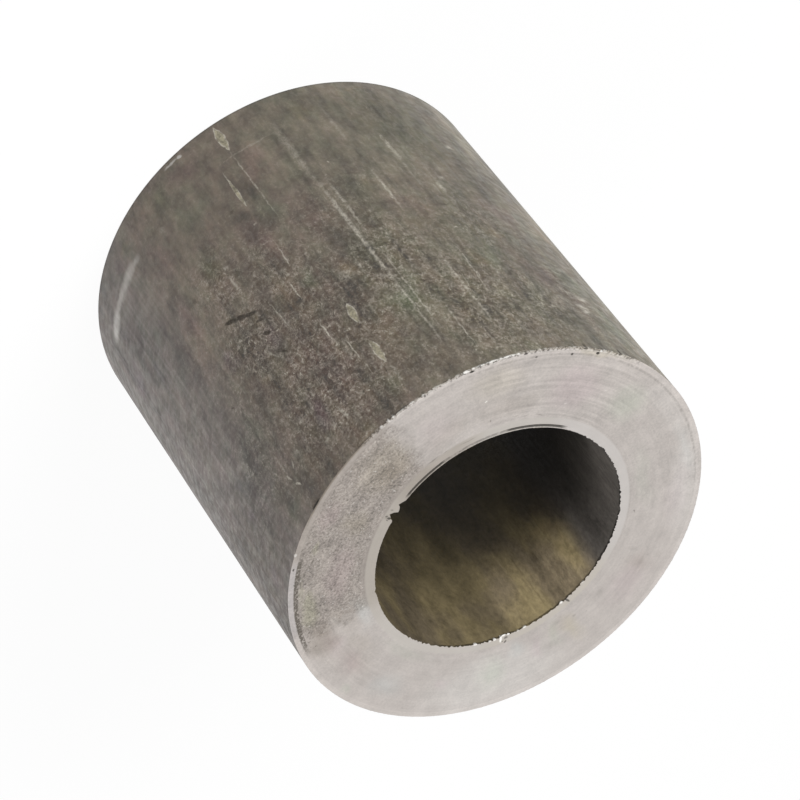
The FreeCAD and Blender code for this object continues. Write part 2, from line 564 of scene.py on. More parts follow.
# Painted glints on the torn metal of the outer edge and the mouth: angle, radius, height, half-sizes round,
# out and up, strength, tilt, softness
burrGlints = [
    (252.4, 17.42, upper, (0.42, 0.11, 0.25), 1.0, 0, 0.5),
    (250.4, 17.47, upper, (0.20, 0.07, 0.2), 0.9, 0, 0.5),
    (248.4, 17.46, upper, (0.50, 0.07, 0.2), 0.8, 0, 0.5),
    (245.4, 17.45, upper, (0.70, 0.08, 0.2), 0.9, 0, 0.5),
    (243.0, 17.45, upper, (0.24, 0.07, 0.2), 0.7, 0, 0.5),
    (240.8, 17.45, upper, (0.80, 0.08, 0.2), 0.9, 0, 0.5),
    (238.3, 17.45, upper, (0.24, 0.09, 0.2), 0.8, 0, 0.5),
    (232.4, 17.42, upper, (0.14, 0.08, 0.2), 0.4, 0, 0.6),
    (264.2, 17.44, upper, (0.18, 0.11, 0.2), 0.6, 0, 0.6),
    (262.3, 17.42, upper, (0.30, 0.09, 0.2), 0.4, 0, 0.6),
    (267.4, 17.45, upper, (0.34, 0.08, 0.2), 0.6, 0, 0.5),
    (270.2, 17.45, upper, (0.40, 0.06, 0.2), 0.5, 0, 0.5),
    (276.6, 17.45, upper, (0.20, 0.09, 0.2), 0.6, 0, 0.5),
    (272.9, 17.44, upper, (0.10, 0.16, 0.3), 0.6, 0, 0.6),
    (274.3, 17.44, upper, (0.10, 0.16, 0.3), 0.6, 0, 0.6),
    (214.5, 17.36, upper, (0.16, 0.13, 0.2), 0.9, 0, 0.6),
    (317.0, 17.40, upper, (0.20, 0.14, 0.2), 0.4, 0, 0.6),
    (64.5, 10.72, upper, (0.13, 0.40, 0.4), 1.0, -8, 0.6),
    (65.4, 10.36, upper, (0.28, 0.16, 0.4), 1.0, -20, 0.6),
    (66.8, 10.26, upper, (0.42, 0.14, 0.4), 1.0, 5, 0.6),
    (68.4, 10.42, upper, (0.20, 0.14, 0.4), 1.0, 30, 0.6),
    (248.0, 13.90, upper, (0.17, 0.06, 1), 0.8, 25, 0.3),
    (205.3, 14.32, upper, (0.14, 0.05, 1), 0.35, 0, 0.2),
    (217.5, 12.50, upper, (0.22, 0.10, 1), 0.3, 20, 0.1),
    (75.8, 10.50, upper, (0.22, 0.13, 0.3), 0.8, 0, 0.6),
    (72.8, 10.56, upper, (0.14, 0.10, 0.2), 0.5, 0, 0.6),
    (61.7, 10.56, upper, (0.16, 0.13, 0.3), 0.8, 0, 0.6),
    (59.4, 10.58, upper, (0.14, 0.10, 0.2), 0.6, 0, 0.6),
    (52.6, 10.56, upper, (0.22, 0.12, 0.3), 0.7, 0, 0.6),
    (94.8, 10.50, upper, (0.16, 0.15, 0.3), 1.0, 0, 0.6),
    (107.5, 10.55, upper, (0.16, 0.10, 0.2), 0.4, 0, 0.6),
]

# Painted shade in the torn slots, pits and notch beside the outer edge and the mouth, in the same rows
slotShade = [
    (301.7, 17.45, upper - 0.18, (0.66, 0.3, 0.15), 1.0, 0, 0.6),
    (281.6, 17.45, upper - 0.17, (1.00, 0.3, 0.07), 0.9, 0, 0.5),
    (271.3, 17.45, upper - 0.16, (1.50, 0.3, 0.06), 0.8, 0, 0.5),
    (250.9, 17.22, upper, (0.26, 0.10, 1), 1.0, 0, 0.6),
    (236.3, 17.30, upper, (0.20, 0.12, 1), 0.9, 0, 0.6),
    (233.2, 16.84, upper, (0.13, 0.11, 1), 0.7, 0, 0.5),
    (222.8, 16.86, upper, (0.15, 0.13, 1), 0.95, 0, 0.5),
    (219.5, 17.40, upper, (0.26, 0.12, 1), 0.8, 0, 0.6),
    (208.4, 17.42, upper, (0.18, 0.14, 1), 0.8, 0, 0.6),
    (215.2, 17.12, upper, (0.20, 0.14, 1), 1.0, 0, 0.6),
    (263.9, 17.30, upper, (0.12, 0.14, 1), 0.7, 0, 0.6),
    (321.6, 17.27, upper, (0.16, 0.10, 1), 0.8, 0, 0.6),
    (66.9, 10.76, upper, (0.24, 0.24, 1), 0.72, 0, 0.3),
    (66.5, 11.16, upper, (0.20, 0.12, 1), 0.8, 30, 0.3),
    (65.3, 11.02, upper, (0.12, 0.10, 1), 0.6, 0, 0.3),
    (97.2, 10.85, upper, (0.13, 0.30, 1), 0.8, 10, 0.6),
    (302.0, 10.66, upper, (0.17, 0.26, 1), 0.9, 0, 0.3),
    (301.3, 10.98, upper, (0.10, 0.16, 1), 0.7, 20, 0.3),
    (303.0, 10.75, upper, (0.07, 0.18, 1), 0.6, -20, 0.3),
    (298.0, 10.85, upper, (0.10, 0.20, 1), 0.4, 0, 0.2),
]

# Colours of the painted glints and of the painted shade in the slots, pits and the mouth's groove
burrGlintAndShade = {
    "bright": colour(0.93, 0.91, 0.87),
    "dark": colour(0.035, 0.031, 0.026),
    "fringe": 0.30,                  # strength of the ragged fringe of painted highlight between the burrs
}


# the torn edge over a finish: a ragged fringe of painted highlight on the outer edge, painted glints on the
# burrs, then painted shade in the slots and pits and between the teeth
def tornEdge(tone, spot, radius, height, heading):
    near = product(step(radius, outer - 0.34, outer - 0.16),
                   step(height, upper - 0.22, upper - 0.08))
    teeth = speckle(spot, 3.4, 3, 0.7)
    fringe = product(near, inSector(heading, 242, 34, 8), step(teeth, 0.47, 0.6))
    bright = maths("MAXIMUM", product(fringe, burrGlintAndShade["fringe"]),
                   flecks(spot, burrGlints))
    tone = blend(bright, tone, burrGlintAndShade["bright"])
    dark = flecks(spot, slotShade)
    # painted shade between the teeth of the fringe
    gaps = product(near, inSector(heading, 242, 38, 5), step(teeth, 0.50, 0.38))
    dark = maths("MAXIMUM", dark, product(gaps, 0.75))
    return blend(dark, tone, burrGlintAndShade["dark"]), bright, dark


# Mill scale on the tube's outside: colours are linear
wallFinish = {
    "olive": colour(0.102, 0.0875, 0.0625),    # the tone of most of it
    "brown": colour(0.106, 0.085, 0.0635),     # the side that faces -Y
    "grey": colour(0.0985, 0.084, 0.0735),     # the side that faces +X
    "pale": 1.25,                              # painted sheen: brightness of the side that faces -X
    # these sides as sectors: middle, half-width and easing in degrees
    "brownSide": (286, 17, 16),
    "greySide": (350, 30, 26),
    "paleSide": (180, 12, 20),
    "flanks": [(345, 24, 22), (190, 16, 18)],  # where the grain is coarser and the lines are calmer
    "tints": {
        "green": (0.92, 1.05, 0.98),
        "mauve": (1.04, 0.94, 1.02),
        "violet": (0.97, 0.90, 1.06),
        "beige": (1.22, 1.14, 1.02),
        "dark": (0.76, 0.73, 0.68),
        "light": (1.25, 1.24, 1.24),
    },
    "grain": (0.098, 0.091, 0.079),            # what the grain adds and takes away: nearly neutral
    "darkest": (0.034, 0.029, 0.023),
    "rubbed": colour(0.36, 0.335, 0.28),
    "rubCore": colour(0.205, 0.184, 0.125),
    # colour of the grey scuffs and of the painted glint at the lower edge
    "scuffed": colour(0.36, 0.34, 0.315),
    "nick": colour(0.034, 0.027, 0.020),
    "roughness": (0.40, 0.56),
    "metal": 0.15,
    # relative contrast of each layer: fine grain, coarse grain, blotches, clouds, lines
    "contrast": (2.1, 0.9, 1.8, 1.0, 1.1),
    "creases": (1.10, 0.036),                  # gain and half-width, in tone, of the thin bright creases
    "peaks": 0.9,                              # how much more the grain's bright side counts
    "patches": (0.38, 1.10),                   # grain is this strong in smooth and in gritty places
    "hue": 0.4,                                # strength of the green and mauve clouds everywhere
    "relief": (0.07, 0.06, 0.03, 0.05),        # fine grain, coarse grain, lines, pits
}

# Broad patches of tint on the wall, in the rows that onWall takes
wallAreas = {
    "light": [
        (236.0, 31.0, 3.6, 5.5, 0.9),
        (246.0, 31.0, 2.6, 5.0, 0.6),
        (275.0, 19.5, 3.0, 5.5, 0.7),
        (285.0, 19.0, 3.0, 5.0, 0.6),
        (305.0, 19.0, 1.8, 6.0, 0.8),
        (305.0, 7.5, 1.8, 4.5, 0.5),
        (195.0, 19.0, 2.4, 6.0, 0.8),
        (195.0, 7.0, 2.4, 5.0, 0.5),
        (346.0, 7.0, 2.0, 5.0, 0.6),
    ],
    "green": [
        (201.0, 33.5, 2.0, 4.5, 0.8),
        (204.0, 27.5, 2.2, 3.0, 0.9, 30),
        (226.0, 25.6, 1.8, 2.4, 0.8),
        (243.0, 22.5, 1.2, 2.0, 0.7),
        (252.0, 28.0, 2.4, 4.0, 1.0),
        (268.5, 21.3, 1.0, 2.4, 1.0),
        (267.0, 12.3, 1.6, 3.8, 1.0),
        (268.0, 35.5, 1.2, 2.5, 0.7),
        (288.0, 13.2, 2.0, 2.8, 0.9),
        (283.0, 6.2, 3.2, 3.4, 1.0),
        (222.0, 7.0, 5.5, 5.8, 0.5, 0, 0.2),
        (304.0, 27.8, 1.3, 3.0, 0.8, 15),
        (307.0, 35.5, 1.4, 2.4, 0.8),
        (288.5, 2.4, 1.4, 1.6, 1.0),
        (305.5, 2.4, 0.9, 1.2, 1.0),
        (314.0, 10.5, 1.5, 3.0, 0.5),
    ],
    "mauve": [
        (213.0, 28.0, 2.2, 6.0, 0.9, 30),
        (210.0, 18.5, 2.4, 3.6, 0.9, 30),
        (236.0, 18.0, 3.2, 2.2, 0.8),
        (258.0, 14.5, 2.6, 4.5, 0.9),
        (263.0, 6.4, 1.8, 2.6, 0.8),
        (273.5, 13.5, 1.6, 4.5, 1.0),
        (278.0, 30.0, 2.4, 7.0, 0.6),
        (297.5, 7.4, 1.6, 3.0, 1.0),
        (303.0, 14.0, 2.0, 4.5, 0.9),
        (277.5, 2.4, 2.2, 1.4, 1.0),
        (311.0, 2.8, 0.9, 0.8, 1.0),
    ],
    "violet": [
        (286.5, 32.6, 1.0, 3.2, 1.0),
        (286.0, 23.2, 0.9, 3.0, 1.0),
        (297.5, 20.8, 1.3, 1.8, 1.0),
        (323.0, 30.8, 1.0, 1.2, 0.9),
        (320.0, 27.8, 0.8, 1.0, 0.7),
        (330.0, 35.5, 1.8, 1.6, 0.8),
        (333.0, 8.5, 2.4, 2.0, 0.9, 40),
        (321.0, 12.0, 0.8, 1.4, 0.7),
    ],
    "beige": [
        (219.0, 22.3, 1.2, 2.0, 0.8, 20),
        (229.5, 26.3, 0.7, 1.7, 1.0),
        (242.0, 32.0, 0.8, 2.0, 0.6),
        (244.5, 3.2, 1.5, 1.8, 0.7, 0, 0.1),
        (242.0, 14.5, 0.9, 2.2, 0.5),
        (293.5, 25.8, 0.8, 0.9, 0.7),
        (260.5, 22.9, 0.9, 1.5, 1.0, 20, 0.2),
        (226.0, 1.2, 2.6, 0.5, 0.6),
        (288.0, 13.4, 1.8, 2.6, 0.7),
        (289.0, 2.4, 1.6, 1.4, 0.4),
        (305.5, 2.2, 1.0, 1.0, 0.7, 0, 0.2),
        (287.0, 20.9, 0.6, 1.6, 0.8),
        (275.5, 22.0, 1.6, 3.2, 0.7, 0, 0.1),
        (304.5, 17.0, 1.8, 4.0, 0.45, 0, 0.1),
        (255.0, 36.0, 1.0, 1.6, 0.4, 0, 0.1),
        (195.0, 19.5, 2.4, 6.5, 0.3, 0, 0.2),
        (288.5, 25.0, 0.5, 1.2, 0.7),
    ],
    "dark": [
        (292.5, 27.2, 0.9, 1.5, 0.9),
        (277.5, 26.0, 0.8, 1.6, 0.8),
        (296.5, 35.6, 2.2, 3.0, 0.8, 0, 0.1),
        (308.0, 34.5, 2.8, 4.2, 0.75, 0, 0.3),
        (322.0, 34.5, 3.4, 4.0, 0.75, 0, 0.3),
        (215.5, 11.0, 3.4, 7.0, 0.8, 10, 0.2),
        (234.5, 20.0, 2.6, 4.5, 0.6, 0, 0.1),
        (342.0, 32.5, 7.0, 7.5, 0.85, 0, 0.5),
        (261.5, 31.0, 2.6, 6.0, 0.6, 0, 0.1),
        (246.0, 18.0, 2.0, 4.0, 0.4, 0, 0.1),
        (311.0, 31.0, 3.4, 5.0, 0.4, 0, 0.1),
        (324.0, 20.0, 3.0, 5.0, 0.35, 0, 0.1),
        (225.0, 36.6, 2.2, 1.8, 0.5, 0, 0.1),
        (262.0, 33.8, 1.4, 2.2, 0.5, 0, 0.1),
        (281.5, 36.6, 1.8, 1.6, 0.5, 0, 0.1),
        (254.5, 21.6, 0.8, 1.6, 0.6),
        (298.0, 21.4, 1.0, 1.5, 0.6, 20),
        (267.0, 8.3, 1.2, 1.2, 0.5),
        (223.0, 6.0, 5.0, 5.5, 0.75, 0, 0.3),
        (324.0, 30.8, 2.6, 2.6, 0.6, 20, 0.1),
        (334.0, 33.5, 3.4, 5.5, 0.60, 0, 0.2),
        (243.0, 22.5, 1.8, 2.4, 0.45),
        (236.0, 18.0, 3.0, 2.4, 0.42),
        (263.0, 6.4, 2.0, 3.2, 0.42),
        (268.0, 35.8, 1.6, 2.6, 0.5, 0, 0.1),
        (213.0, 28.0, 2.0, 6.0, 0.3, 30),
    ],
}

# Where the wall is gritty, in the same rows
grittyPlaces = [
    (237.0, 31.5, 6.0, 10.0, 1.0, 0, 0.2),
    (249.0, 25.5, 5.0, 10.5, 1.0, 0, 0.2),
    (280.0, 30.0, 7.6, 11.5, 1.0, 0, 0.3),
    (264.0, 28.0, 5.0, 12.0, 0.8),
    (289.0, 22.0, 3.8, 7.0, 1.0, 0, 0.1),
    (288.0, 14.5, 3.0, 5.5, 0.9, 0, 0.1),
    (254.0, 15.5, 4.0, 5.0, 0.4, 0, 0.1),
    (274.0, 20.0, 4.5, 9.0, 0.7, 0, 0.1),
    (219.0, 21.5, 4.0, 6.5, 0.6),
    (221.0, 32.0, 4.5, 7.0, 0.8),
    (208.5, 31.0, 3.4, 8.0, 0.6, 0, 0.1),
    (308.0, 30.0, 4.0, 8.0, 0.55),
]

# Lens-shaped rubs on the wall: angle, radius, height, half-sizes round, out and up, tilt
lensRubs = [
    (266.4, outer, 31.6, (0.36, 3, 1.60), 2),
    (265.8, outer, 26.9, (0.34, 3, 1.35), -2),
    (265.9, outer, 2.1, (0.40, 3, 1.85), 0),
    (270.9, outer, 8.4, (0.18, 3, 2.1), 0),
]

# Pale rubs, in the rows that onWall takes
paleRubs = [
    (270.8, 6.6, 0.09, 1.5, 0.5, 0, 0.3),
    (266.1, 8.6, 0.10, 6.2, 0.45, 0, 0.3),
    (266.0, 34.6, 0.14, 2.2, 0.3, 0, 0.3),
    (265.4, 29.4, 0.12, 1.1, 0.3, 0, 0.3),
    (207.6, 32.0, 0.8, 0.9, 1.0, 25, 0.2),
    (205.2, 30.3, 0.8, 0.6, 0.7, 20, 0.1),
    (223.4, 16.0, 0.35, 0.9, 0.7, 10, 0.1),
    (221.0, 14.6, 0.40, 0.6, 0.45, 10, 0.1),
    (208.6, 9.0, 0.55, 0.45, 0.6, 40),
    (219.0, 13.2, 0.50, 0.4, 0.25, 0, 0.1),
    (228.8, 9.9, 0.26, 2.6, 0.6, 3, 0.2),
    (228.8, 12.5, 0.16, 5.0, 0.3, 0, 0.1),
    (252.8, 8.5, 0.50, 7.5, 0.30),
    (252.5, 19.0, 0.26, 9.5, 0.65, 0, 0.2),
    (250.3, 16.0, 0.20, 4.5, 0.6, 0, 0.2),
    (252.4, 24.0, 0.12, 0.7, 0.8, 0, 0.3),
    (252.4, 29.0, 0.18, 7.0, 0.6, 0, 0.1),
    (238.4, 15.5, 0.18, 4.0, 0.6, 0, 0.2),
    (238.2, 29.0, 0.16, 7.5, 0.6, 0, 0.1),
    (238.6, 6.0, 0.25, 3.5, 0.25, 0, 0.1),
    (246.9, 10.3, 0.10, 0.22, 1.0, 20, 0.5),
    (228.3, 21.6, 0.42, 0.10, 0.7, 0, 0.4),
    (281.9, 34.2, 0.16, 1.0, 0.9, 8, 0.4),
    (285.6, 34.4, 0.22, 0.5, 0.5, 10, 0.2),
    (289.3, 34.9, 0.30, 0.35, 0.5, 0, 0.2),
    (302.6, 35.0, 0.12, 0.50, 0.8, 30, 0.4),
    (303.8, 33.8, 0.10, 0.6, 0.6, 25, 0.3),
    (300.6, 33.4, 0.10, 0.5, 0.6, -20, 0.3),
    (303.8, 32.3, 0.16, 1.1, 0.5, 0, 0.2),
    (222.6, 22.8, 0.18, 2.4, 0.3, 3, 0.1),
    (273.8, 21.2, 0.08, 1.5, 0.9, 0, 0.5),
    (273.6, 26.8, 0.07, 1.5, 0.9, 1, 0.5),
    (270.9, 29.9, 0.07, 1.6, 0.85, 0, 0.5),
    (270.6, 32.6, 0.06, 0.9, 0.6, 0, 0.5),
    (270.9, 17.0, 0.07, 2.4, 0.6, -2, 0.4),
    (257.3, 22.6, 0.16, 0.7, 0.8, 0, 0.3),
    (250.4, 27.5, 0.09, 7.0, 0.6, 0, 0.2),
    (246.0, 33.0, 0.08, 3.6, 0.6, 0, 0.3),
    (280.6, 22.0, 0.06, 2.6, 0.5, 4, 0.4),
    (233.0, 27.0, 0.08, 4.4, 0.5, -3, 0.3),
    (261.3, 22.9, 0.7, 1.1, 0.5, 30),
    (285.3, 16.0, 0.18, 1.6, 0.5, 5, 0.2),
    (284.8, 14.0, 0.25, 0.4, 0.5, 0, 0.1),
    (290.0, 15.6, 0.12, 1.8, 0.35, 0, 0.2),
    (287.8, 24.6, 0.14, 1.4, 0.45, 25, 0.2),
    (294.5, 34.0, 0.30, 0.5, 0.35, 20, 0.1),
    (297.8, 33.0, 0.25, 0.4, 0.45, 40, 0.2),
    (272.0, 12.5, 0.25, 0.15, 0.4, 0, 0.3),
    (262.0, 4.6, 3.4, 0.16, 0.25, 0, 0.2),
    (242.0, 13.2, 0.7, 0.5, 0.2),
    (293.0, 5.4, 0.5, 0.8, 0.25),
]

# Scuffs with less colour: the band near the lower end, and a painted glint at its edge
scuffsAndGlint = [
    (311.0, 4.05, 2.6, 0.85, 0.60, 0, 0.1),
    (325.8, 4.00, 2.3, 0.95, 0.85, 0, 0.2),
    (317.5, 3.95, 4.8, 0.60, 0.50, 0, 0.2),
    (304.9, 4.20, 0.9, 0.55, 0.55, 0, 0.1),
    (277.6, 0.70, 0.34, 0.26, 1.0, 0, 0.4),
    (280.4, 0.62, 0.90, 0.22, 0.8, 0, 0.3),
]

# Dark nicks and pits on the wall
wallNicks = [
    (286.8, 19.55, 1.05, 0.28, 1.0, -33, 0.5),
    (289.4, 19.00, 0.85, 0.32, 1.0, -28, 0.5),
    (291.9, 18.45, 0.90, 0.27, 1.0, -32, 0.5),
    (285.9, 22.4, 0.50, 0.22, 1.0, -45, 0.5),
    (285.4, 24.9, 0.85, 0.20, 0.9, -58, 0.4),
    (285.4, 20.9, 0.60, 0.18, 0.85, -30, 0.5),
    (290.0, 24.6, 0.60, 0.12, 0.5, -55, 0.3),
    (297.1, 13.5, 0.30, 0.50, 0.6, 0, 0.2),
    (199.5, 30.7, 0.5, 0.4, 0.5, 20, 0.1),
    (255.4, 21.4, 0.25, 0.6, 0.45, 0, 0.1),
    (275.0, 9.8, 0.4, 0.2, 0.5, 0, 0.2),
    (305.8, 24.0, 0.35, 0.10, 0.6, -50, 0.3),
    (321.0, 15.3, 0.30, 0.40, 0.35, 0, 0.1),
    (226.5, 18.4, 0.80, 0.18, 0.5, 0, 0.1),
    (254.6, 22.6, 0.2, 1.6, 0.4, 0, 0.1),
]


# the random tones that the parts of the mill scale share; on the flanks the grain is coarser and the
# lines are calmer
def wallLayers(spot, height, heading):
    ragged = shaken(spot, 1.6, (0.3, 0.3, 0.5))
    squat = squeezed(ragged, 0.75)
    broader = vector("MULTIPLY", ragged, (0.4, 0.4, 0.75))
    flank = maths("MAXIMUM", *[inSector(heading, *side) for side in wallFinish["flanks"]])
    calmer = maths("MAXIMUM", product(flank, 0.6), step(height, 22, 8, 0.0, 0.3))
    return {
        "ragged": ragged,
        "wavy": shaken(spot, 0.45, (2.2, 2.2, 4.0)),
        "flank": flank,
        "fine": mixed(flank, speckle(squat, 5.2, 3, 0.7), speckle(broader, 5.2, 3, 0.7)),
        "coarse": mixed(flank, speckle(squat, 2.3, 3, 0.6), speckle(broader, 2.3, 3, 0.6)),
        "blotch": speckle(squeezed(ragged, 0.5), 0.85, 3, 0.6),
        "clouds": speckle(squeezed(spot, 0.5), 0.24, 2, 0.5),
        "lines": mixed(calmer, speckle(squeezed(spot, 0.06), 1.5, 4, 0.6), 0.5),
        "folded": speckle(squeezed(ragged, 0.55), 2.3, 3, 0.65),
        "sparks": speckle(squat, 4.6, 3, 0.7),
        "pits": speckle(ragged, 3.6, 3, 0.7),
        "hue": speckle(squeezed(ragged, 0.6), 0.75, 3, 0.55),
    }


# hue: olive, browner towards -Y, greyer towards +X and lighter with painted sheen towards -X, then the broad
# patches and the faint clouds
def wallHue(layers, heading):
    tints = wallFinish["tints"]
    tone = blend(inSector(heading, *wallFinish["brownSide"]), wallFinish["olive"], wallFinish["brown"])
    tone = blend(inSector(heading, *wallFinish["greySide"]), tone, wallFinish["grey"])
    # painted sheen on the side that faces -X
    tone = shaded(tone, step(inSector(heading, *wallFinish["paleSide"]), 0, 1, 1.0, wallFinish["pale"]))
    for name, rows in wallAreas.items():
        tone = tinted(tone, flecks(layers["wavy"], onWall(rows)), tints[name])
    tone = tinted(tone, step(layers["hue"], 0.5, 0.64, 0.0, wallFinish["hue"]), tints["green"])
    return tinted(tone, step(layers["hue"], 0.5, 0.36, 0.0, wallFinish["hue"]), tints["mauve"])


# how strong the grain is: in smooth and in gritty places, less low down, on the flanks and between blotches
def wallGrit(layers, height):
    low, high = wallFinish["patches"]
    smooth = product(step(height, 5, 24, 0.38, 1.1), step(layers["flank"], 0, 1, 1.0, 0.75), low)
    patchy = maths("MULTIPLY_ADD", flecks(layers["wavy"], onWall(grittyPlaces)), high - low, smooth)
    return product(patchy, step(layers["blotch"], 0.40, 0.58, 0.78, 1.12))


# grain, creases, blotches and lines over the tone, then worn specks and pits; creases and the grain's bright
# side count more
def wallGrain(tone, layers, patchy):
    fine, coarse, blotch = layers["fine"], layers["coarse"], layers["blotch"]
    gains = wallFinish["contrast"]
    grit = maths("SUBTRACT", gathered([(fine, gains[0]), (coarse, gains[1])]), 1.0)
    grit = maths("MULTIPLY_ADD", maths("MAXIMUM", grit, 0.0), wallFinish["peaks"], grit)
    crease, thin = wallFinish["creases"]
    folded = maths("ABSOLUTE", maths("SUBTRACT", layers["folded"], 0.5))
    hairs = product(step(folded, thin, 0.0, 0.0, crease), step(coarse, 0.42, 0.56))
    grit = product(maths("SUBTRACT", maths("ADD", grit, hairs), 0.20), patchy)
    broad = gathered([(blotch, gains[2]), (layers["clouds"], gains[3]), (layers["lines"], gains[4])])
    tone = shaded(tone, maths("MAXIMUM", broad, 0.4))
    tone = vector("ADD", tone, shaded(wallFinish["grain"], grit))
    tone = vector("MAXIMUM", tone, wallFinish["darkest"])
    sparks = product(step(layers["sparks"], 0.60, 0.68), step(blotch, 0.42, 0.6), patchy)
    tone = blend(product(sparks, 0.6), tone, wallFinish["rubbed"])
    pits = product(step(layers["pits"], 0.36, 0.29), patchy)
    return blend(product(pits, 0.4), tone, wallFinish["nick"]), pits


# the rubs, scuffs, painted glint and nicks that have their own places, broken by the grain
def wallMarks(tone, layers):
    fine, coarse, ragged = layers["fine"], layers["coarse"], layers["ragged"]
    broken = step(coarse, 0.3, 0.6, 0.5, 1.0)
    worn = step(fine, 0.36, 0.58, 0.35, 1.15)
    pale = product(flecks(ragged, onWall(paleRubs)), broken, worn)
    tone = blend(pale, tone, wallFinish["rubbed"])
    for rub in lensRubs:
        away = fromLens(ragged, rub)
        rim = product(step(away, 1.0, 0.8, 0.0, 0.9), step(coarse, 0.38, 0.56, 0.2, 1.0))
        tone = blend(rim, tone, wallFinish["rubbed"])
        core = shaded(wallFinish["rubCore"], gathered([(coarse, 1.4), (fine, 2.2)]))
        tone = blend(step(away, 0.84, 0.5, 0.0, 0.95), tone, core)
    # the grey scuffs, and the painted glint at the lower edge
    scuffAndGlint = product(flecks(ragged, onWall(scuffsAndGlint)), step(layers["blotch"], 0.3, 0.6, 0.7, 1.0))
    tone = blend(scuffAndGlint, tone, wallFinish["scuffed"])
    nicks = flecks(ragged, onWall(wallNicks))
    tone = blend(product(nicks, step(fine, 0.4, 0.6, 1.0, 0.75)), tone, wallFinish["nick"])
    return tone, scuffAndGlint, nicks


# mill scale: broad tints, lines along the tube, fine grain, and the rubs and nicks of its own places
def wallScale():
    finish, shader = newFinish("wallScale")
    spot, radius, height, heading = millimetreSpace()
    layers = wallLayers(spot, height, heading)
    patchy = wallGrit(layers, height)
    tone, pits = wallGrain(wallHue(layers, heading), layers, patchy)
    tone, scuffAndGlint, nicks = wallMarks(tone, layers)
    # painted shade: the foot is darker, low down where the wall meets the floor
    tone = shaded(tone, step(height, 0.32, 0.16, 1.0, 0.7))
    tone, bright, dark = tornEdge(tone, spot, radius, height, heading)
    feed(shader.inputs["Base Color"], tone)
    rough = step(layers["coarse"], 0.35, 0.65, *reversed(wallFinish["roughness"]))
    rough = maths("MULTIPLY_ADD", maths("MAXIMUM", bright, scuffAndGlint), -0.15, rough)
    rough = maths("MULTIPLY_ADD", maths("MAXIMUM", nicks, dark), 0.35, rough)
    feed(shader.inputs["Roughness"], rough)
    feed(shader.inputs["Metallic"], step(bright, 0, 1, wallFinish["metal"], 0.9))
    deepFine, deepCoarse, deepLines, deepPits = wallFinish["relief"]
    deep = product(layers["fine"], patchy, deepFine)
    deep = maths("MULTIPLY_ADD", product(layers["coarse"], patchy), deepCoarse, deep)
    deep = maths("MULTIPLY_ADD", layers["lines"], deepLines, deep)
    relief(shader, maths("MULTIPLY_ADD", pits, -deepPits, deep))
    return finish


# Faced steel of the ends
faceFinish = {
    "steel": colour(0.509, 0.469, 0.441),
    "land": colour(0.545, 0.512, 0.470),
    "stain": colour(0.13, 0.115, 0.095),
    "tints": {
        "green": (0.975, 1.035, 0.985),
        "violet": (0.995, 0.955, 0.985),
        "beige": (1.01, 1.00, 0.905),
        "blue": (0.96, 1.01, 1.03),
        "light": (1.14, 1.17, 1.18),
        "dim": (0.90, 0.885, 0.86),
        "shade": (0.80, 0.785, 0.77),
        "patch": (0.965, 1.005, 0.90),
    },
    "roughness": (0.32, 0.5),
    "metal": 0.85,
    # relative contrast of each layer: fine grain, coarse grain, blotches, rings
    "contrast": (0.62, 0.24, 0.42, 0.50),
    "dullContrast": 3.2,             # times as much grain in the dull sector
    "dull": (0.69, 0.67, 0.645),     # and its tint
    "dullSide": (311, 31, 8),        # its sector: middle, half-width and easing in degrees
    "bevel": 1.11,                   # brightness of the bevel
    "shinyBevel": ((332, 9, 6), (1.22, 1.27, 1.36)),         # sector and tint of its brightest stretch, a painted highlight
    "wornBevel": ((256, 47, 8), (0.62, 0.60, 0.55)),         # and of its dull edge
    # sectors and tints of the land
    "landTints": [
        ((170, 35, 20), (1.08, 1.09, 1.14)),
        ((305, 40, 20), (0.88, 0.86, 0.835)),
        ((272, 10, 16), (0.84, 0.82, 0.80)),
        ((88, 22, 15), (1.0, 0.98, 0.94)),
    ],
    "ringSide": (222, 16, 14),       # where the rings show best
    "calmSide": (75, 50, 40),        # where the steel is calmer
    "relief": (0.02, 0.012, 0.012, 0.03),                    # grain, rings, pits, the ring line
}

